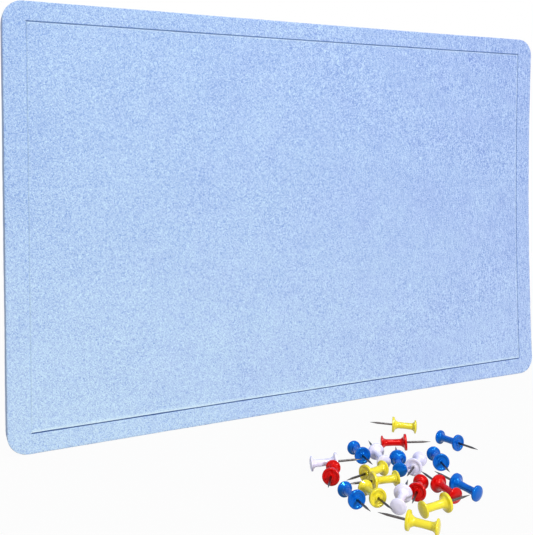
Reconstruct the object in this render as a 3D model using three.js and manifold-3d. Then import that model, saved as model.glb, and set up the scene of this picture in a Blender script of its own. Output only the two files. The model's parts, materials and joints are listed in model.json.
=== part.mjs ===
// A felt pin board with a routed border line, its wall tape and its loose set of push pins.
// Millimetres. X runs across the board, Z up it, and the wall it hangs on is the plane Y = 0, behind it.
// The origin is the centre of the board on that wall plane.

import * as THREE from "three";
import { mergeVertices } from "three/addons/utils/BufferGeometryUtils.js";
import Module from "manifold-3d";

const wasm = await Module();
wasm.setup();

// Felt panel
const panelWidth = 300;
const panelHeight = 200;
const panelThickness = 9;
const cornerRadius = 9;
const cornerSteps = 8;

// Border line cut into the panel's front: a V with a steep outer wall and a sloped inner one
const grooveInsetAtSides = 10;
const grooveInsetAtTopAndBottom = 9;
const grooveOuterWallWidth = 0.2;
const grooveInnerWallWidth = 0.8;
const grooveDepth = 1.5;
const cutOverrun = 1;

// Double-sided foam tape on the panel's back
const tapeLength = 60;
const tapeWidth = 20;
const tapeThickness = 1;
const tapeEdgeMargin = 20;

// Push pin: a spool-shaped plastic head on a steel needle
const headLength = 11.5;
const flangeRadius = 3.5;
const flangeRimThickness = 0.9;
const flangeEdgeRound = 0.3;
const flangeConeLength = 1.1;
const capRadius = 3;
const capRimThickness = 0.8;
const capDomeHeight = 0.5;
const capConeLength = 1;
const shankRadius = 1.55;
const shankWaistRadius = 1.45;
const collarRadius = 1.3;
const dishDepth = 0.4;
const dishRimWidth = 0.6;
const needleRadius = 0.45;
const needleLength = 10.5;
const needlePointLength = 2.5;
const needleSeatDepth = 6.5;
const needleClearance = 0.3;
const headSides = 16;
const needleSides = 8;
const domeShoulderShare = 0.6;

// Where each loose pin lies on the surface that the board's lower edge stands level with.
// A row holds the colour, the flange's place across and out from the wall as shares of the pin's
// length, and the needle's heading in degrees, anticlockwise from +X as seen from above.
const pinLength = headLength + needleLength;
const pinPlaceShares = [
  ["yellow", 0.8, 2.6, 145],
  ["blue", 1.4, 4.05, 280],
  ["red", 0.5, 3.55, 330],
  ["blue", -0.65, 3.75, 260],
  ["blue", 0.5, 4.65, 250],
  ["white", -1.22, 3.75, 340],
  ["red", -1.67, 4.3, 235],
  ["white", -0.3, 3.65, 75],
  ["blue", -0.1, 4.1, 60],
  ["white", -0.1, 4.6, 220],
  ["yellow", -1.05, 4.45, 195],
  ["yellow", -1.1, 4.75, 175],
  ["yellow", -1.35, 5.35, 265],
  ["blue", -1.7, 5.25, 265],
  ["white", -0.85, 5.35, 45],
  ["red", -0.65, 5.45, 225],
  ["red", -0.1, 5.3, 90],
  ["blue", 0.2, 5.4, 100],
  ["yellow", -0.4, 5.95, 0],
  ["yellow", -1.35, 6.15, 130],
];

// Materials
const plasticColours = { yellow: 0xf0e020, blue: 0x0b62d6, red: 0xe01218, white: 0xe6e0f2 };

function feltMaterial() {
  return new THREE.MeshStandardMaterial({ color: 0xafcbf3, roughness: 0.95, metalness: 0 });
}

function tapeMaterial() {
  return new THREE.MeshStandardMaterial({ color: 0xf2f2ee, roughness: 0.7, metalness: 0 });
}

function plasticMaterial(colour) {
  return new THREE.MeshStandardMaterial({ color: plasticColours[colour], roughness: 0.2, metalness: 0 });
}

function steelMaterial() {
  return new THREE.MeshStandardMaterial({ color: 0x8c8c90, roughness: 0.3, metalness: 1 });
}

// Solids for cutting
function solidFrom(geometry) {
  const bare = geometry.clone();
  bare.deleteAttribute("normal");
  bare.deleteAttribute("uv");
  const merged = mergeVertices(bare);
  const mesh = new wasm.Mesh({
    numProp: 3,
    vertProperties: merged.getAttribute("position").array,
    triVerts: new Uint32Array(merged.getIndex().array),
  });
  return new wasm.Manifold(mesh);
}

function geometryFrom(solid) {
  const mesh = solid.getMesh();
  const geometry = new THREE.BufferGeometry();
  geometry.setAttribute("position", new THREE.BufferAttribute(mesh.vertProperties, mesh.numProp));
  geometry.setIndex(new THREE.BufferAttribute(mesh.triVerts, 1));
  geometry.computeVertexNormals();
  return geometry;
}

// Panel: a rounded rectangle stood upright, with its back on the tape's front face
function roundedRectangle(width, height, radius) {
  const right = width / 2;
  const top = height / 2;
  const quarter = Math.PI / 2;
  const outline = new THREE.Shape();
  outline.absarc(right - radius, top - radius, radius, 0, quarter);
  outline.absarc(radius - right, top - radius, radius, quarter, 2 * quarter);
  outline.absarc(radius - right, radius - top, radius, 2 * quarter, 3 * quarter);
  outline.absarc(right - radius, radius - top, radius, 3 * quarter, 4 * quarter);
  outline.closePath();
  return outline;
}

// One side of the border line: its V section, run along a side of the inner rectangle. The section
// lies in X (outwards) and Y (towards the front), with the groove's outer edge at X = 0.
function grooveSideCutter(length) {
  const outerSlope = grooveOuterWallWidth / grooveDepth;
  const innerSlope = grooveInnerWallWidth / grooveDepth;
  const section = new THREE.Shape();
  section.moveTo(-grooveOuterWallWidth, -grooveDepth);
  section.lineTo(outerSlope * cutOverrun, cutOverrun);
  section.lineTo(-grooveOuterWallWidth - grooveInnerWallWidth - innerSlope * cutOverrun, cutOverrun);
  section.closePath();
  const geometry = new THREE.ExtrudeGeometry(section, { depth: length, bevelEnabled: false });
  geometry.translate(0, 0, -length / 2);
  return geometry;
}

// The four sides, turned round the border in the panel's own drawing plane, whose front is +Z.
function grooveCutter() {
  const across = panelWidth - 2 * grooveInsetAtSides;
  const up = panelHeight - 2 * grooveInsetAtTopAndBottom;
  const sides = [
    { length: up, reach: across / 2, turn: 0 },
    { length: across, reach: up / 2, turn: 1 },
    { length: up, reach: across / 2, turn: 2 },
    { length: across, reach: up / 2, turn: 3 },
  ];
  let cutter = null;
  for (const { length, reach, turn } of sides) {
    const geometry = grooveSideCutter(length);
    geometry.rotateX(Math.PI / 2);
    geometry.translate(reach, 0, 0);
    geometry.rotateZ((turn * Math.PI) / 2);
    const solid = solidFrom(geometry);
    cutter = cutter ? cutter.add(solid) : solid;
  }
  return cutter;
}

function feltPanel() {
  const outline = roundedRectangle(panelWidth, panelHeight, cornerRadius);
  const options = { depth: panelThickness, bevelEnabled: false, curveSegments: cornerSteps };
  const slab = new THREE.ExtrudeGeometry(outline, options);
  slab.translate(0, 0, -panelThickness);
  const panel = new THREE.Mesh(geometryFrom(solidFrom(slab).subtract(grooveCutter())), feltMaterial());
  panel.name = "felt_panel";
  panel.geometry.rotateX(Math.PI / 2);
  panel.position.y = -tapeThickness - panelThickness;
  return panel;
}

// Tape: one strip near each corner and one in the middle
function tapeStrip(name, x, z) {
  const strip = new THREE.Mesh(new THREE.BoxGeometry(tapeLength, tapeThickness, tapeWidth), tapeMaterial());
  strip.name = name;
  strip.position.set(x, -tapeThickness / 2, z);
  return strip;
}

function tapeStrips() {
  const x = panelWidth / 2 - tapeEdgeMargin - tapeLength / 2;
  const z = panelHeight / 2 - tapeEdgeMargin - tapeWidth / 2;
  const strips = new THREE.Group();
  strips.add(tapeStrip("tape_strip_centre", 0, 0));
  for (const [row, up] of [["upper", 1], ["lower", -1]]) {
    for (const [column, across] of [["left", -1], ["right", 1]]) {
      strips.add(tapeStrip(`tape_strip_${row}_${column}`, across * x, up * z));
    }
  }
  return strips;
}

// Pin head, turned about its own axis: the flange's face is at 0 and the cap's end at -headLength
function headProfile() {
  const boreRadius = needleRadius + needleClearance;
  const capRimStart = -headLength + capDomeHeight;
  const capRimEnd = capRimStart + capRimThickness;
  const flangeRimEnd = -flangeEdgeRound;
  const flangeRimStart = flangeRimEnd - flangeRimThickness;
  const flangeConeStart = flangeRimStart - flangeConeLength;
  const capConeEnd = capRimEnd + capConeLength;
  return [
    [0, -headLength],
    [capRadius * domeShoulderShare, -headLength + capDomeHeight * (1 - domeShoulderShare)],
    [capRadius, capRimStart],
    [capRadius, capRimEnd],
    [shankRadius, capConeEnd],
    [shankWaistRadius, (capConeEnd + flangeConeStart) / 2],
    [shankRadius, flangeConeStart],
    [flangeRadius, flangeRimStart],
    [flangeRadius, flangeRimEnd],
    [flangeRadius - flangeEdgeRound, 0],
    [flangeRadius - flangeEdgeRound - dishRimWidth, 0],
    [collarRadius, -dishDepth],
    [collarRadius, 0],
    [boreRadius, 0],
    [boreRadius, -needleSeatDepth - needleClearance],
    [0, -needleSeatDepth - needleClearance],
  ];
}

function needleProfile() {
  return [
    [0, -needleSeatDepth],
    [needleRadius, -needleSeatDepth],
    [needleRadius, needleLength - needlePointLength],
    [0, needleLength],
  ];
}

// A profile turned about X, which the pin points along, with a corner of its rings straight down.
function turned(profile, sides) {
  const points = profile.map(([radius, along]) => new THREE.Vector2(radius, along));
  const geometry = new THREE.LatheGeometry(points, sides);
  geometry.rotateZ(-Math.PI / 2);
  return geometry;
}

// A loose pin lies on the rims of its flange and its cap, so its needle points slightly up.
function looseLie() {
  const flangeRimStart = -flangeEdgeRound - flangeRimThickness;
  const capRimStart = -headLength + capDomeHeight;
  const tilt = Math.atan2(flangeRadius - capRadius, flangeRimStart - capRimStart);
  const height = flangeRadius * Math.cos(tilt) - flangeRimStart * Math.sin(tilt);
  return { tilt, height };
}

function pushPin(colour, name) {
  const head = new THREE.Mesh(turned(headProfile(), headSides), plasticMaterial(colour));
  head.name = `${name}_head`;
  const needle = new THREE.Mesh(turned(needleProfile(), needleSides), steelMaterial());
  needle.name = `${name}_needle`;
  const pin = new THREE.Group();
  pin.name = name;
  pin.add(head, needle);
  return pin;
}

function loosePins() {
  const pins = new THREE.Group();
  const made = { yellow: 0, blue: 0, red: 0, white: 0 };
  const { tilt, height } = looseLie();
  for (const [colour, acrossShare, outShare, heading] of pinPlaceShares) {
    made[colour] += 1;
    const pin = pushPin(colour, `${colour}_pin_${made[colour]}`);
    pin.position.set(acrossShare * pinLength, -outShare * pinLength, height - panelHeight / 2);
    pin.rotation.set(0, -tilt, THREE.MathUtils.degToRad(heading), "ZYX");
    pins.add(pin);
  }
  return pins;
}

const group = new THREE.Group();
group.add(feltPanel(), tapeStrips(), loosePins());

export default group;
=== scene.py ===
# Looks for the felt pin board: the heathered felt panel, its wall tape and its glossy push pins.
# Metres, in the part's own frame. Sizes are written in millimetres and multiplied by MM.

import json
import math
import random
from typing import NamedTuple

import bpy
import numpy as np
from mathutils import Matrix, Vector, noise

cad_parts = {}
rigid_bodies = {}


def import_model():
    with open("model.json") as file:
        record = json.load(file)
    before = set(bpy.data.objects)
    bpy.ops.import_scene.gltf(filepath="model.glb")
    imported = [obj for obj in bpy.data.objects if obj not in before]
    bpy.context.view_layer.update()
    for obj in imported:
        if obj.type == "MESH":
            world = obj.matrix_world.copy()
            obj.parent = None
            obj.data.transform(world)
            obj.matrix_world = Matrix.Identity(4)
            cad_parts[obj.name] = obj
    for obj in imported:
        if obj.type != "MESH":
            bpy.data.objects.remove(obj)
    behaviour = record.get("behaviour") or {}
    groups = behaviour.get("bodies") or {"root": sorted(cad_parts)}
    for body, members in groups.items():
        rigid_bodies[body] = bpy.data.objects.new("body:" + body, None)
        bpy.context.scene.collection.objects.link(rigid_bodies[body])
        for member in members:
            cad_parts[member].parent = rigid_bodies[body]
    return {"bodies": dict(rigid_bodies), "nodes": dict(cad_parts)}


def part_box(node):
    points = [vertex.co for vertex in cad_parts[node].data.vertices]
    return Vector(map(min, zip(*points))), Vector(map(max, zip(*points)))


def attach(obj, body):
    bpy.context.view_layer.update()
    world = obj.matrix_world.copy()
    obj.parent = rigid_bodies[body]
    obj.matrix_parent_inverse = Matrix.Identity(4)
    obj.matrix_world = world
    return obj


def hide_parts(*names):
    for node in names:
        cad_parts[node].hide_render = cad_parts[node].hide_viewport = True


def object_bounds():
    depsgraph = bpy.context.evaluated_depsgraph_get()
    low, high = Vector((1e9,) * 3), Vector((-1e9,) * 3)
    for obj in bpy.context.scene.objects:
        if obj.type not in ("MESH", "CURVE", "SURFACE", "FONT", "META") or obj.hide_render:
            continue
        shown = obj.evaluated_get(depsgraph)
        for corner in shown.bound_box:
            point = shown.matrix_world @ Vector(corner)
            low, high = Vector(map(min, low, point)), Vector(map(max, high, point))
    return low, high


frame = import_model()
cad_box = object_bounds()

MM = 0.001

# Camera, fitted to the corners of the board in the photograph. Its place is in millimetres and its angles
# are in degrees.
CAMERA_PLACE = (-174.9, -340.8, 26.9)
CAMERA_HEADING = 24.41
CAMERA_PITCH = -0.42
CAMERA_ROLL = -0.57
FOCAL_LENGTH = 48.28
SENSOR_WIDTH = 36.0
SHIFT_Y = -0.183

# Felt panel. Its rings of points run from the middle of the back, round the edge, over the front's margin and
# across the border line, and a square grid fills the rest of the front.
CORNER_RADIUS = 9 * MM
CORNER_STEPS = 8
LEAST_RADIUS = 0.05 * MM
GRID_STEP = 1.0 * MM
EDGE_ROUND = 0.4 * MM
# How far in the rings of the back lie, close enough to each other for the back to follow the board's curl
BACK_INSETS = [inset * MM for inset in (*range(96, 0, -8), 3)] + [EDGE_ROUND]
BACK_EDGE_ANGLES = (0.5, 1.0, math.pi / 2)
SIDE_ROWS = 7
FRONT_EDGE_ANGLES = (0.0, 0.4, 0.8, 1.2, math.pi / 2)
# How much painted shade, darkening the panel's edge and sides, each ring has: those of the back, of the edge
# and of the front's start. The rings further on have none.
PAINTED_EDGE_SHADES = [0.0] * len(BACK_INSETS) + [0.8] * (len(BACK_EDGE_ANGLES) + SIDE_ROWS) + [0.3]

# The border line. Each place across it is in half widths, from its outer side to its inner one, with the
# share of the line's depth there.
GROOVE_INSET = 9 * MM
GROOVE_EXTRA_AT_SIDES = 1 * MM
GROOVE_HALF_WIDTH = 0.36 * MM
GROOVE_PROFILE = (
    (-1.6, 0.0), (-1.15, 0.0), (-0.9, 0.06), (-0.75, 0.3), (-0.25, 0.9),
    (0.0, 1.0), (0.5, 0.55), (1.0, 0.12), (1.3, -0.03), (1.8, 0.0),
)


class GrooveSide(NamedTuple):
    """The border line on one side of the board: its depth, the painted shade in it, and the painted light of
    the pale band along its inner edge.
    """
    depth: float
    painted_shade: float
    paleness: float
    band: float


GROOVE_SIDES = {
    "top": GrooveSide(depth=1.0 * MM, painted_shade=0.58, paleness=0.7, band=1.0 * MM),
    "right": GrooveSide(depth=0.8 * MM, painted_shade=0.62, paleness=0.7, band=1.2 * MM),
    "bottom": GrooveSide(depth=1.0 * MM, painted_shade=1.15, paleness=1.3, band=1.8 * MM),
    "left": GrooveSide(depth=0.3 * MM, painted_shade=0.28, paleness=0.35, band=0.8 * MM),
}
# How the line's painted shade and the band's painted light change along a side, and how the painted light
# falls off
LEFT_LINE_DARKER_AT_TOP = 0.4
BOTTOM_BAND_MEAN = 0.8
BOTTOM_BAND_LESS_AT_RIGHT = 0.2
PALE_FALLOFF = 1.3

# The curl of the board's right side, which comes forward a little towards its corners
CURL_START = -50 * MM
CURL = 2.7 * MM
CURL_MORE_AT_TOP = 0.5 * MM

# The felt's unevenness: the length and height of its slow waves and of its two sizes of lump
WAVES = ((28 * MM, 0.12 * MM), (2.6 * MM, 0.05 * MM), (1.1 * MM, 0.04 * MM))

# The felt's fibres: their slope from the board's width in degrees, their length and their width
UPRIGHT_FIBRES = (86, 3.4 * MM, 0.55 * MM)
LEANING_FIBRES = (50, 1.6 * MM, 0.5 * MM)
FALLING_FIBRES = (-45, 1.6 * MM, 0.5 * MM)

# Colours, in the photograph's 0 to 255 values. The felt's two are for its left and its right side.
# The right side's darker, bluer tones are painted shade, as the light falls off towards the right
FELT_DARK = ((131, 161, 220), (119, 146, 213))
FELT_PALE = ((205, 230, 250), (197, 219, 250))
# The marks' colours: painted shade on the panel's edge and sides, painted light beside the border line and
# painted shade in it
FELT_MARKS = {"painted_edge_shade": (142, 164, 204), "painted_groove_light": (228, 250, 255), "painted_groove_shade": (60, 98, 166)}
TAPE_TONES = ((246, 246, 242), (232, 232, 226))
STEEL_TONES = ((52, 50, 52), (116, 110, 108))
PLASTIC_TONES = {
    "yellow": ((237, 221, 46), (229, 209, 30)),
    "blue": ((0, 93, 199), (0, 79, 181)),
    "red": ((214, 3, 2), (198, 2, 2)),
    "white": ((240, 236, 255), (227, 223, 253)),
}
# The tint of each plastic's reflections
PLASTIC_SHINES = {
    "yellow": (255, 250, 180),
    "blue": (75, 195, 255),
    "red": (255, 105, 100),
    "white": (250, 248, 255),
}
# The spans of a noise's values that are spread over two tones and over two roughnesses
NOISE_OVER_TONES = (0.35, 0.7)
NOISE_OVER_ROUGHNESS = (0.3, 0.7)

# Tape
TAPE_CORNER_RADIUS = 1.5 * MM
TAPE_CORNER_STEPS = 6
TAPE_EDGE_ROUND = 0.12 * MM
# The share of its corner radius that the foam keeps at half its thickness
TAPE_WAIST = 0.97

# Push pins. What lies this close to a pin's axis is on it, and a corner's rounding takes up at most this
# share of the sides beside it.
ON_AXIS = 0.0001 * MM
ROUNDED_SHARE = 0.49
HEAD_TURNS = 64
NEEDLE_TURNS = 24
SPIN_SEED = 20
# The head's outline, from the cap's end on the axis, over the cap, waist and flange, to the hole that holds
# the needle, and the needle's, from its seat to its point. A corner is how far along and out it lies and how
# round it is, in millimetres.
HEAD_CORNERS = (
    (-11.5, 0.0, 0.0),
    (-11.45, 1.6, 2.5),
    (-11.0, 3.0, 0.3),
    (-10.35, 3.0, 0.2),
    (-10.05, 2.1, 0.6),
    (-9.2, 1.5, 1.2),
    (-5.8, 1.4, 3.0),
    (-2.6, 1.5, 1.2),
    (-1.45, 2.3, 0.8),
    (-1.05, 3.5, 0.25),
    (0.0, 3.5, 0.35),
    (0.0, 2.7, 0.15),
    (-0.4, 2.35, 0.2),
    (-0.4, 1.3, 0.15),
    (0.0, 1.2, 0.12),
    (0.0, 0.47, 0.05),
    (-1.5, 0.47, 0.1),
    (-1.5, 0.0, 0.0),
)
NEEDLE_CORNERS = (
    (-1.4, 0.0, 0.0),
    (-1.4, 0.45, 0.05),
    (7.0, 0.44, 2.0),
    (10.2, 0.08, 0.3),
    (10.5, 0.0, 0.0),
)

# Lamps: where each stands, what it is aimed at, its size in metres and its power in watts
PILE_AND_BOARD = (0, -0.08, -0.08)
LAMPS = {
    "top": ((-0.05, -0.36, 1.1), PILE_AND_BOARD, 0.22, 3.4),
    "key": ((0.5, -0.65, 1.15), PILE_AND_BOARD, 0.22, 3.2),
    "second": ((-0.4, -0.6, 1.15), PILE_AND_BOARD, 0.22, 3.6),
    "fill": ((0.05, -1.05, 0.22), (0, 0, -0.05), 0.15, 5.8),
    "back_left": ((-0.8, 0.8, 0.5), (0, 0, 0), 0.5, 5.5),
    "back_right": ((0.8, 0.8, 0.5), (0, 0, 0), 0.5, 5.5),
}

# Floor and world. The floor's own grey shows faintly in what is seen of it near the object, for the shadow.
FLOOR_REACH = 6.0
FLOOR_GREY = 0.35
FLOOR_GLOW_NEAR = 0.96
FLOOR_GLOW_CHANGE = (0.3, 0.7)
WORLD_LIGHT = 0.3


# Node helpers
def new_material(name, **settings):
    material = bpy.data.materials.new(name)
    material.use_nodes = True
    shader = material.node_tree.nodes["Principled BSDF"]
    for socket, value in settings.items():
        shader.inputs[socket.replace("_", " ")].default_value = value
    return material, material.node_tree, shader


def node(tree, kind, inputs=None, **settings):
    made = tree.nodes.new(kind)
    for key, value in settings.items():
        setattr(made, key, value)
    for socket, value in (inputs or {}).items():
        if isinstance(value, bpy.types.NodeSocket):
            tree.links.new(value, made.inputs[socket])
        else:
            made.inputs[socket].default_value = value
    return made


def math_of(tree, operation, first, second=0.0, third=0.0):
    made = node(tree, "ShaderNodeMath", {0: first, 1: second, 2: third}, operation=operation)
    return made.outputs[0]


def ramp(tree, value, span, to=(0.0, 1.0)):
    """The value's place in a span, carried over to another span."""
    inputs = {"Value": value, "From Min": span[0], "From Max": span[1], "To Min": to[0], "To Max": to[1]}
    return node(tree, "ShaderNodeMapRange", inputs).outputs[0]


def mixed(tree, factor, first, second):
    inputs = {0: factor, 6: first, 7: second}
    return node(tree, "ShaderNodeMix", inputs, data_type="RGBA").outputs[2]


def noise_of(tree, where, scale, detail, roughness=0.5):
    inputs = {"Vector": where, "Scale": scale, "Detail": detail, "Roughness": roughness}
    return node(tree, "ShaderNodeTexNoise", inputs).outputs["Fac"]


def bump(tree, height, distance, strength):
    inputs = {"Height": height, "Distance": distance, "Strength": strength}
    return node(tree, "ShaderNodeBump", inputs).outputs[0]


def mark_of(tree, name):
    return node(tree, "ShaderNodeAttribute", attribute_name=name).outputs["Fac"]


def place_on_piece(tree):
    return node(tree, "ShaderNodeTexCoord").outputs["Object"]


def between(tree, amount, tones):
    return mixed(tree, amount, *(rgb(*tone) for tone in tones))


def rgb(red, green, blue):
    """A colour given in the photograph's 0 to 255 values, as Blender's linear one."""
    def linear(value):
        share = value / 255
        return share / 12.92 if share <= 0.04045 else ((share + 0.055) / 1.055) ** 2.4
    return (linear(red), linear(green), linear(blue), 1.0)


# Materials
def about_zero(tree, value):
    return math_of(tree, "SUBTRACT", value, 0.5)


def weighted(tree, *pairs):
    """The sum of values, each times its weight."""
    total = 0.0
    for value, weight in pairs:
        total = math_of(tree, "MULTIPLY_ADD", value, weight, total)
    return total


def fibres(tree, where, slope, length, width):
    """Noise about zero, drawn out along one direction of the board's face, as fibres that lie that way."""
    inputs = {"Vector": where, "Rotation": (0.0, math.radians(slope), 0.0), "Scale": (length, width, width)}
    drawn = node(tree, "ShaderNodeMapping", inputs, vector_type="TEXTURE").outputs[0]
    return about_zero(tree, noise_of(tree, drawn, scale=1.0, detail=1.5, roughness=0.6))


def wavering(tree, where):
    """The place, moved a little at random, so that fibres drawn there aren't straight."""
    reach = 1.6 * MM
    inputs = {"Vector": where, "Scale": 260.0, "Detail": 1.0}
    waver = node(tree, "ShaderNodeTexNoise", inputs).outputs["Color"]
    inputs = {0: waver, 1: (0.5, 0.5, 0.5)}
    offset = node(tree, "ShaderNodeVectorMath", inputs, operation="SUBTRACT").outputs[0]
    bend = node(tree, "ShaderNodeVectorMath", {0: offset, "Scale": reach}, operation="SCALE").outputs[0]
    return node(tree, "ShaderNodeVectorMath", {0: where, 1: bend}).outputs[0]


def felt_height(tree, where, across):
    """How high the matted fibres stand, about zero: crossed on the left and more upright on the right."""
    bent = wavering(tree, where)
    right_side = ramp(tree, across, (0.0, 110 * MM))
    upright = fibres(tree, bent, *UPRIGHT_FIBRES)
    crossing = math_of(tree, "ADD", fibres(tree, bent, *LEANING_FIBRES), fibres(tree, bent, *FALLING_FIBRES))
    uprightness = ramp(tree, right_side, (0.0, 1.0), to=(0.2, 0.9))
    lie = node(tree, "ShaderNodeMix", {0: uprightness, 2: crossing, 3: upright}).outputs[0]
    grain = about_zero(tree, noise_of(tree, where, scale=1700.0, detail=1.0, roughness=0.5))
    clump = about_zero(tree, noise_of(tree, where, scale=420.0, detail=2.0, roughness=0.6))
    clumping = ramp(tree, right_side, (0.0, 1.0), to=(0.3, 0.15))
    return weighted(tree, (lie, 1.0), (grain, 1.3), (clump, clumping))


def felt_shade(tree, where, across, up, height):
    """How pale the felt is, about zero. Painted light makes it paler lower down, and painted shade makes it
    darker towards the top and at the upper half of its left edge.
    """
    low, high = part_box("felt_panel")
    contrast = ramp(tree, across, (low.x, high.x), to=(1.18, 1.45))
    cloud = about_zero(tree, noise_of(tree, where, scale=60.0, detail=2.5, roughness=0.55))
    painted_light_low = ramp(tree, up, (10 * MM, low.z))
    painted_light_low_weight = ramp(tree, across, (low.x, high.x), to=(0.19, 0.08))
    left_edge = ramp(tree, across, (-130 * MM, -142 * MM))
    painted_shade_upper_left = math_of(tree, "MULTIPLY", left_edge, ramp(tree, up, (-40 * MM, 40 * MM)))
    # Besides the grain and clouds: painted shade towards the top, painted light low down and painted shade at
    # the upper left edge
    return weighted(tree, (height, contrast), (cloud, 0.2), (up, -0.66), (painted_light_low, painted_light_low_weight),
                    (painted_shade_upper_left, -0.05))


def felt_tone(tree, where, across, shade):
    hue_noise = noise_of(tree, where, scale=42.0, detail=2.0, roughness=0.5)
    fine_hue = noise_of(tree, where, scale=130.0, detail=1.5, roughness=0.5)
    # The drift across the board is painted shade, darker and bluer towards the right; the noises are the
    # felt's own hue.
    hue = weighted(tree, (across, 2.6), (hue_noise, 0.6), (fine_hue, 0.4))
    right_shade_and_hue = ramp(tree, hue, (0.25, 0.9))
    paleness = math_of(tree, "ADD", shade, 0.5)
    tone = mixed(tree, paleness, between(tree, right_shade_and_hue, FELT_DARK), between(tree, right_shade_and_hue, FELT_PALE))
    # Painted shade on the edge and sides and in the border line, and painted light beside it
    for name, colour in FELT_MARKS.items():
        tone = mixed(tree, mark_of(tree, name), tone, rgb(*colour))
    return tone


def felt_material():
    material, tree, shader = new_material(
        "heathered_felt", Roughness=0.95, Sheen_Weight=0.1, Sheen_Roughness=0.5, Specular_IOR_Level=0.1)
    where = place_on_piece(tree)
    across = node(tree, "ShaderNodeSeparateXYZ", {0: where}).outputs[0]
    up = node(tree, "ShaderNodeSeparateXYZ", {0: where}).outputs[2]
    height = felt_height(tree, where, across)
    shade = felt_shade(tree, where, across, up, height)
    tree.links.new(felt_tone(tree, where, across, shade), shader.inputs["Base Color"])
    tree.links.new(bump(tree, height, distance=0.15 * MM, strength=0.6), shader.inputs["Normal"])
    return material


def foam_tape_material():
    material, tree, shader = new_material("foam_tape", Roughness=0.6)
    where = place_on_piece(tree)
    cells = node(tree, "ShaderNodeTexVoronoi", {"Vector": where, "Scale": 1800.0}).outputs["Distance"]
    smudge = noise_of(tree, where, scale=60.0, detail=3.0)
    tone = between(tree, ramp(tree, smudge, NOISE_OVER_TONES), TAPE_TONES)
    tree.links.new(tone, shader.inputs["Base Color"])
    tree.links.new(bump(tree, cells, distance=0.05 * MM, strength=0.4), shader.inputs["Normal"])
    return material


def plastic_material(colour):
    shine = rgb(*PLASTIC_SHINES[colour])
    material, tree, shader = new_material(
        f"plastic_{colour}", IOR=1.5, Specular_Tint=shine, Specular_IOR_Level=1.0)
    where = place_on_piece(tree)
    flow = noise_of(tree, where, scale=260.0, detail=3.0)
    tone = between(tree, ramp(tree, flow, NOISE_OVER_TONES), PLASTIC_TONES[colour])
    tree.links.new(tone, shader.inputs["Base Color"])
    tree.links.new(ramp(tree, flow, NOISE_OVER_ROUGHNESS, to=(0.05, 0.12)), shader.inputs["Roughness"])
    skin = noise_of(tree, where, scale=900.0, detail=2.0)
    tree.links.new(bump(tree, skin, distance=0.02 * MM, strength=0.4), shader.inputs["Normal"])
    return material


def steel_material():
    material, tree, shader = new_material("needle_steel", Metallic=1.0)
    where = place_on_piece(tree)
    inputs = {"Vector": where, "Scale": (4 * MM, 0.08 * MM, 0.08 * MM)}
    drawn = node(tree, "ShaderNodeMapping", inputs, vector_type="TEXTURE").outputs[0]
    scratches = noise_of(tree, drawn, scale=1.0, detail=3.0)
    tone = between(tree, scratches, STEEL_TONES)
    tree.links.new(tone, shader.inputs["Base Color"])
    tree.links.new(ramp(tree, scratches, NOISE_OVER_ROUGHNESS, to=(0.22, 0.38)), shader.inputs["Roughness"])
    tree.links.new(bump(tree, scratches, distance=0.01 * MM, strength=0.4), shader.inputs["Normal"])
    return material


# Meshes
def piece_from(name, points, faces, material):
    mesh = bpy.data.meshes.new(name)
    mesh.from_pydata(points, [], faces)
    mesh.validate()
    mesh.polygons.foreach_set("use_smooth", [True] * len(mesh.polygons))
    mesh.materials.append(material)
    piece = bpy.data.objects.new(name, mesh)
    bpy.context.scene.collection.objects.link(piece)
    return piece


def rounded(corners, steps=5):
    """An open outline through the corners, each (along, out, radius) and rounded by its own radius."""
    points = []
    for index, (along, out, radius) in enumerate(corners):
        corner = Vector((along, out))
        if radius <= 0 or index in (0, len(corners) - 1):
            points.append(corner)
            continue
        before = Vector(corners[index - 1][:2]) - corner
        after = Vector(corners[index + 1][:2]) - corner
        half_angle = before.angle(after) / 2
        cut = min(radius / math.tan(half_angle), ROUNDED_SHARE * min(before.length, after.length))
        start = corner + before.normalized() * cut
        end = corner + after.normalized() * cut
        for step in range(steps + 1):
            share = step / steps
            points.append(start * (1 - share) ** 2 + corner * 2 * share * (1 - share) + end * share ** 2)
    return points


def turned(outline, turns):
    """The outline turned about X, closed where it meets the axis."""
    points, rings, faces = [], [], []
    for along, out in outline:
        if out < ON_AXIS:
            rings.append([len(points)])
            points.append((along, 0.0, 0.0))
            continue
        rings.append(list(range(len(points), len(points) + turns)))
        for turn in range(turns):
            angle = 2 * math.pi * turn / turns
            points.append((along, out * math.cos(angle), out * math.sin(angle)))
    for lower, upper in zip(rings, rings[1:]):
        for turn in range(turns):
            following = (turn + 1) % turns
            if len(lower) == 1:
                faces.append((lower[0], upper[following], upper[turn]))
            elif len(upper) == 1:
                faces.append((lower[turn], lower[following], upper[0]))
            else:
                faces.append((lower[turn], lower[following], upper[following], upper[turn]))
    return points, faces


# Felt panel
def loop_round(width, height, inset, depth, side_steps):
    """One ring of points round the panel, from the top right corner, anticlockwise from the front."""
    radius = max(CORNER_RADIUS - inset, LEAST_RADIUS)
    side_inset = inset + GROOVE_EXTRA_AT_SIDES * min(1.0, inset / GROOVE_INSET)
    right = width / 2 - side_inset - radius
    top = height / 2 - inset - radius
    across_steps, up_steps = side_steps
    corners = [(right, top, 0), (-right, top, 90), (-right, -top, 180), (right, -top, 270)]
    points = []
    for index, (x, z, start) in enumerate(corners):
        for step in range(CORNER_STEPS + 1):
            angle = math.radians(start + 90 * step / CORNER_STEPS)
            points.append((x + radius * math.cos(angle), depth, z + radius * math.sin(angle)))
        last = Vector(points[-1])
        next_x, next_z, next_start = corners[(index + 1) % 4]
        angle = math.radians(next_start)
        first = Vector((next_x + radius * math.cos(angle), depth, next_z + radius * math.sin(angle)))
        steps = across_steps if index % 2 == 0 else up_steps
        for step in range(1, steps):
            points.append(tuple(last.lerp(first, step / steps)))
    return points


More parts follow.
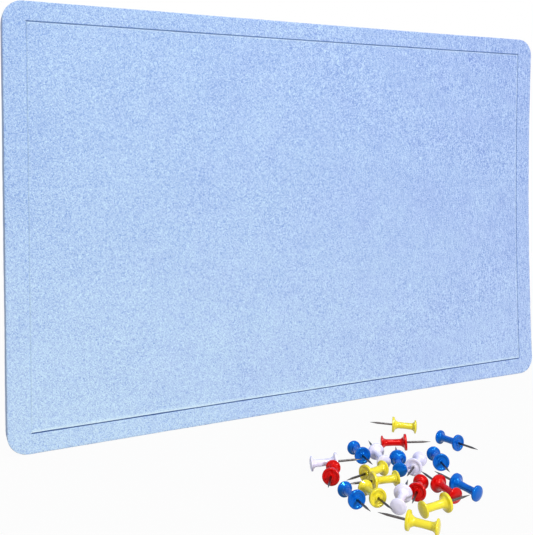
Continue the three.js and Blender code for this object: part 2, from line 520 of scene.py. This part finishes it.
def edge_rings(front, back):
    """The insets and depths of the rings from the middle of the back to the start of the front."""
    edge = EDGE_ROUND
    rings = [(inset, back) for inset in BACK_INSETS]
    for angle in BACK_EDGE_ANGLES:
        rings.append((edge * (1 - math.sin(angle)), back - edge * (1 - math.cos(angle))))
    for row in range(1, SIDE_ROWS):
        rings.append((0.0, back - edge + (front - back + 2 * edge) * row / SIDE_ROWS))
    for angle in FRONT_EDGE_ANGLES:
        rings.append((edge * (1 - math.cos(angle)), front + edge * (1 - math.sin(angle))))
    return rings


def margin_rings(front):
    """The insets and depths of the rings across the front's margin, up to the border line."""
    rings = []
    inset = EDGE_ROUND + GRID_STEP
    while inset < GROOVE_INSET - GROOVE_HALF_WIDTH - GRID_STEP / 2:
        rings.append((inset, front))
        inset += GRID_STEP
    return rings


def felt_panel(material):
    low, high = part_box("felt_panel")
    width, height = high.x - low.x, high.z - low.z
    front, back = low.y, high.y
    inner_inset = GROOVE_INSET + 3 * GROOVE_HALF_WIDTH
    side_steps = tuple(round((length - 2 * inner_inset) / GRID_STEP) for length in (width, height))
    rings = edge_rings(front, back) + margin_rings(front)
    groove_ring = len(rings)
    rings += [(GROOVE_INSET + place * GROOVE_HALF_WIDTH, front) for place, _ in GROOVE_PROFILE]
    rings.append((inner_inset, front))

    points, faces, loops = [], [], []
    for inset, ring_depth in rings:
        loop = loop_round(width, height, inset, ring_depth, side_steps)
        loops.append(list(range(len(points), len(points) + len(loop))))
        points += loop
    # Painted shade in the border line, strongest where the groove is deepest
    groove_shade_amounts = {}
    for loop, (_, share) in zip(loops[groove_ring:], GROOVE_PROFILE):
        for index in loop:
            x, y, z = points[index]
            depth, painted_shade = groove_at(x, z, width, height)
            points[index] = (x, y + share * depth, z)
            groove_shade_amounts[index] = max(0.0, share) * painted_shade
    faces.append(tuple(reversed(loops[0])))
    for lower, upper in zip(loops, loops[1:]):
        for index in range(len(lower)):
            following = (index + 1) % len(lower)
            faces.append((lower[index], lower[following], upper[following], upper[index]))
    fill_front(points, faces, loops[-1], side_steps)
    points = [(x, y - curl(x, z, high), z) for x, y, z in points]

    piece = piece_from("felt_panel_surface", points, faces, material)
    # Painted shade on the panel's edge and sides, which are darker than its front
    cut = {index: shade for loop, shade in zip(loops, PAINTED_EDGE_SHADES) for index in loop}
    mark(piece, "painted_edge_shade", [cut.get(index, 0.0) for index in range(len(points))])
    # Painted shade in the border line
    mark(piece, "painted_groove_shade", [groove_shade_amounts.get(index, 0.0) for index in range(len(points))])
    # Painted light in a pale band beside the border line
    mark(piece, "painted_groove_light", [painted_light_at(x, z, width, height) for x, y, z in points])
    roughen(piece)
    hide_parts("felt_panel")
    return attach(piece, "board")


def curl(x, z, corner):
    """How far the board stands forward of flat at a place on it, from the place of its upper right corner."""
    across = max(0.0, (x - CURL_START) / (corner.x - CURL_START))
    up = z / corner.z
    return across ** 2 * (CURL * up ** 2 + CURL_MORE_AT_TOP * up)


def side_reach(x, z, width, height):
    """How far in a place lies on each side of the board, counted so that the border line is at its inset."""
    across = width / 2 - GROOVE_EXTRA_AT_SIDES
    return {"right": across - x, "left": x + across, "top": height / 2 - z, "bottom": z + height / 2}


def groove_at(x, z, width, height):
    """The border line's depth and painted shade on the side of the board nearest to a place on it."""
    reach = side_reach(x, z, width, height)
    side = min(reach, key=reach.get)
    groove = GROOVE_SIDES[side]
    painted_shade = groove.painted_shade
    if side == "left":
        painted_shade *= 1 + LEFT_LINE_DARKER_AT_TOP * z / (height / 2)
    return groove.depth, painted_shade


def painted_light_at(x, z, width, height):
    """The painted light beside the border line, falling off towards the middle of the board."""
    reach = side_reach(x, z, width, height)
    if min(reach.values()) < GROOVE_INSET:
        return 0.0
    amount = 0.0
    for side, distance in reach.items():
        groove = GROOVE_SIDES[side]
        paleness = groove.paleness
        if side == "bottom":
            paleness *= BOTTOM_BAND_MEAN - BOTTOM_BAND_LESS_AT_RIGHT * x / (width / 2)
        away = (distance - GROOVE_INSET) / groove.band
        amount = max(amount, paleness * max(0.0, 1 - away) ** PALE_FALLOFF)
    return amount


def mark(piece, name, values):
    piece.data.attributes.new(name, "FLOAT", "POINT").data.foreach_set("value", values)


def fill_front(points, faces, loop, side_steps):
    """Fills the last ring with a grid. Its corner arcs, hardly wider than a point, close onto the grid's."""
    across_steps, up_steps = side_steps
    arcs, sides = [], []
    start = 0
    for steps in (across_steps, up_steps, across_steps, up_steps):
        arcs.append([loop[start + step] for step in range(CORNER_STEPS + 1)])
        start += CORNER_STEPS
        sides.append([loop[(start + step) % len(loop)] for step in range(steps + 1)])
        start += steps
    top, left, bottom, right = sides
    top_right, top_left, bottom_left, bottom_right = (arc[CORNER_STEPS // 2] for arc in arcs)

    grid = {
        (0, 0): bottom_left,
        (across_steps, 0): bottom_right,
        (0, up_steps): top_left,
        (across_steps, up_steps): top_right,
    }
    for column in range(1, across_steps):
        grid[column, 0] = bottom[column]
        grid[column, up_steps] = top[across_steps - column]
    for row in range(1, up_steps):
        grid[0, row] = left[up_steps - row]
        grid[across_steps, row] = right[row]
    low, high = points[bottom_left], points[top_right]
    for column in range(1, across_steps):
        for row in range(1, up_steps):
            grid[column, row] = len(points)
            x = low[0] + (high[0] - low[0]) * column / across_steps
            z = low[2] + (high[2] - low[2]) * row / up_steps
            points.append((x, low[1], z))
    for column in range(across_steps):
        for row in range(up_steps):
            faces.append((grid[column, row], grid[column + 1, row],
                          grid[column + 1, row + 1], grid[column, row + 1]))
    for arc in arcs:
        centre = arc[CORNER_STEPS // 2]
        for first, second in zip(arc, arc[1:]):
            if centre not in (first, second):
                faces.append((centre, first, second))


def roughen(piece):
    """Gives the felt its soft unevenness: slow waves in the sheet and the lumps of its matted fibres."""
    mesh = piece.data
    normals = [Vector(vertex.normal) for vertex in mesh.vertices]
    for vertex, normal in zip(mesh.vertices, normals):
        rise = sum(noise.noise(vertex.co / length) * height for length, height in WAVES)
        vertex.co = vertex.co + normal * rise
    mesh.update()


# Tape
def tape_strip(node_name, material):
    """A strip of foam. Its front follows the panel's curl, and its outer face stays flat on the wall."""
    low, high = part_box(node_name)
    panel_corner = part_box("felt_panel")[1]
    centre = (low + high) / 2
    size = high - low
    outline = []
    for across, up, start in [(1, 1, 0), (-1, 1, 90), (-1, -1, 180), (1, -1, 270)]:
        x = across * (size.x / 2 - TAPE_CORNER_RADIUS)
        z = up * (size.z / 2 - TAPE_CORNER_RADIUS)
        for step in range(TAPE_CORNER_STEPS + 1):
            angle = math.radians(start + 90 * step / TAPE_CORNER_STEPS)
            outline.append((x, z, math.cos(angle), math.sin(angle)))
    inner = TAPE_CORNER_RADIUS - TAPE_EDGE_ROUND
    side = size.y / 2 - TAPE_EDGE_ROUND
    rings = [(inner, -size.y / 2), (TAPE_CORNER_RADIUS, -side), (TAPE_CORNER_RADIUS * TAPE_WAIST, 0.0),
             (TAPE_CORNER_RADIUS, side), (inner, size.y / 2)]
    points, faces = [], []
    for radius, depth in rings:
        stretch = 0.5 - depth / size.y
        for x, z, cosine, sine in outline:
            place_x = centre.x + x + radius * cosine
            place_z = centre.z + z + radius * sine
            forward = stretch * curl(place_x, place_z, panel_corner)
            points.append((place_x, centre.y + depth - forward, place_z))
    count = len(outline)
    for ring in range(len(rings) - 1):
        for index in range(count):
            following = (index + 1) % count
            lower, upper = ring * count, (ring + 1) * count
            faces.append((lower + index, lower + following, upper + following, upper + index))
    faces.append(tuple(range(count)))
    faces.append(tuple(reversed(range((len(rings) - 1) * count, len(rings) * count))))
    faces = [tuple(reversed(face)) for face in faces]
    piece = piece_from(f"{node_name}_foam", points, faces, material)
    for face in piece.data.polygons:
        is_on_the_side = len(face.vertices) == 4
        face.use_smooth = is_on_the_side
    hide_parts(node_name)
    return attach(piece, "board")


# Push pins
def outline_of(corners):
    return rounded([tuple(measure * MM for measure in corner) for corner in corners])


def corners_of(node_name):
    return np.array([tuple(vertex.co) for vertex in frame["nodes"][node_name].data.vertices])


def pin_place(pin):
    """Where the CAD pin lies: X along its needle, from the flange's face."""
    needle = corners_of(f"{pin}_needle")
    head = corners_of(f"{pin}_head")
    centred = needle - needle.mean(0)
    axis = np.linalg.svd(centred, full_matrices=False)[2][0]
    if axis @ (needle.mean(0) - head.mean(0)) < 0:
        axis = -axis
    tip = needle[np.argmax(needle @ axis)]
    needle_length = NEEDLE_CORNERS[-1][0] * MM
    along = Vector(axis).normalized()
    across = Vector((0, 0, 1)).cross(along).normalized()
    up = along.cross(across)
    place = Matrix.Identity(4)
    for column, direction in enumerate((along, across, up)):
        place.col[column][:3] = direction
    place.translation = Vector(tip) - along * needle_length
    return place


def push_pins(plastics, steel):
    spin = random.Random(SPIN_SEED)
    head_points, head_faces = turned(outline_of(HEAD_CORNERS), HEAD_TURNS)
    needle_points, needle_faces = turned(outline_of(NEEDLE_CORNERS), NEEDLE_TURNS)
    for pin in sorted(frame["bodies"]):
        colour = pin.split("_")[0]
        if colour not in PLASTIC_TONES:
            continue
        place = pin_place(pin) @ Matrix.Rotation(spin.uniform(0, 2 * math.pi), 4, "X")
        head = piece_from(f"{pin}_head_shape", head_points, head_faces, plastics[colour])
        needle = piece_from(f"{pin}_needle_shape", needle_points, needle_faces, steel)
        for piece, cad_node in ((head, f"{pin}_head"), (needle, f"{pin}_needle")):
            piece.matrix_world = place
            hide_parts(cad_node)
            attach(piece, pin)


# Surroundings
def camera():
    data = bpy.data.cameras.new("camera")
    data.lens = FOCAL_LENGTH
    data.sensor_width = SENSOR_WIDTH
    data.shift_y = SHIFT_Y
    data.clip_start = 0.01
    data.clip_end = 50
    made = bpy.data.objects.new("camera", data)
    turn = Matrix.Rotation(math.radians(-CAMERA_HEADING), 4, "Z")
    nod = Matrix.Rotation(math.radians(90 + CAMERA_PITCH), 4, "X")
    lean = Matrix.Rotation(math.radians(CAMERA_ROLL), 4, "Z")
    made.matrix_world = Matrix.Translation(Vector(CAMERA_PLACE) * MM) @ turn @ nod @ lean
    bpy.context.scene.collection.objects.link(made)
    bpy.context.scene.camera = made


def seen_directly(tree):
    """1 for what the camera sees, straight or mirrored or through glass, and 0 for what lights the object."""
    path = node(tree, "ShaderNodeLightPath").outputs
    either = math_of(tree, "MAXIMUM", path["Is Camera Ray"], path["Is Glossy Ray"])
    return math_of(tree, "MAXIMUM", either, path["Is Transmission Ray"])


def floor():
    size, level = FLOOR_REACH, cad_box[0].z
    data = bpy.data.meshes.new("floor")
    corners = [(-size, -size, level), (size, -size, level), (size, size, level), (-size, size, level)]
    data.from_pydata(corners, [], [(0, 1, 2, 3)])
    material, tree, shader = new_material("floor", Roughness=0.9, Specular_IOR_Level=0.0)
    shader.inputs["Base Color"].default_value = (FLOOR_GREY, FLOOR_GREY, FLOOR_GREY, 1.0)
    glow = node(tree, "ShaderNodeEmission", {"Color": (1.0, 1.0, 1.0, 1.0), "Strength": 1.0}).outputs[0]
    away = node(tree, "ShaderNodeVectorMath", {0: place_on_piece(tree)}, operation="LENGTH").outputs["Value"]
    glowing = ramp(tree, away, FLOOR_GLOW_CHANGE, to=(FLOOR_GLOW_NEAR, 1.0))
    amount = math_of(tree, "MULTIPLY", seen_directly(tree), glowing)
    both = node(tree, "ShaderNodeMixShader", {0: amount, 1: shader.outputs[0], 2: glow}).outputs[0]
    tree.links.new(both, tree.nodes["Material Output"].inputs["Surface"])
    data.materials.append(material)
    made = bpy.data.objects.new("floor", data)
    bpy.context.scene.collection.objects.link(made)


def world():
    made = bpy.data.worlds.new("studio")
    bpy.context.scene.world = made
    made.use_nodes = True
    tree = made.node_tree
    background = tree.nodes["Background"]
    strength = ramp(tree, seen_directly(tree), (0.0, 1.0), to=(WORLD_LIGHT, 1.0))
    tree.links.new(strength, background.inputs["Strength"])
    background.inputs["Color"].default_value = (1.0, 1.0, 1.0, 1.0)


def softbox(name, place, aim, size, power):
    data = bpy.data.lights.new(name, "AREA")
    data.shape = "SQUARE"
    data.size = size
    data.energy = power
    made = bpy.data.objects.new(name, data)
    made.location = place
    made.rotation_mode = "QUATERNION"
    made.rotation_quaternion = (Vector(aim) - Vector(place)).to_track_quat("-Z", "Y")
    bpy.context.scene.collection.objects.link(made)


def studio():
    camera()
    floor()
    world()
    for name, (place, aim, size, power) in LAMPS.items():
        softbox(name, place, aim, size, power)
    bpy.context.scene.view_settings.view_transform = "Standard"


def main():
    studio()
    felt_panel(felt_material())
    foam = foam_tape_material()
    for name in sorted(frame["nodes"]):
        if name.startswith("tape_strip"):
            tape_strip(name, foam)
    push_pins({colour: plastic_material(colour) for colour in PLASTIC_TONES}, steel_material())


main()
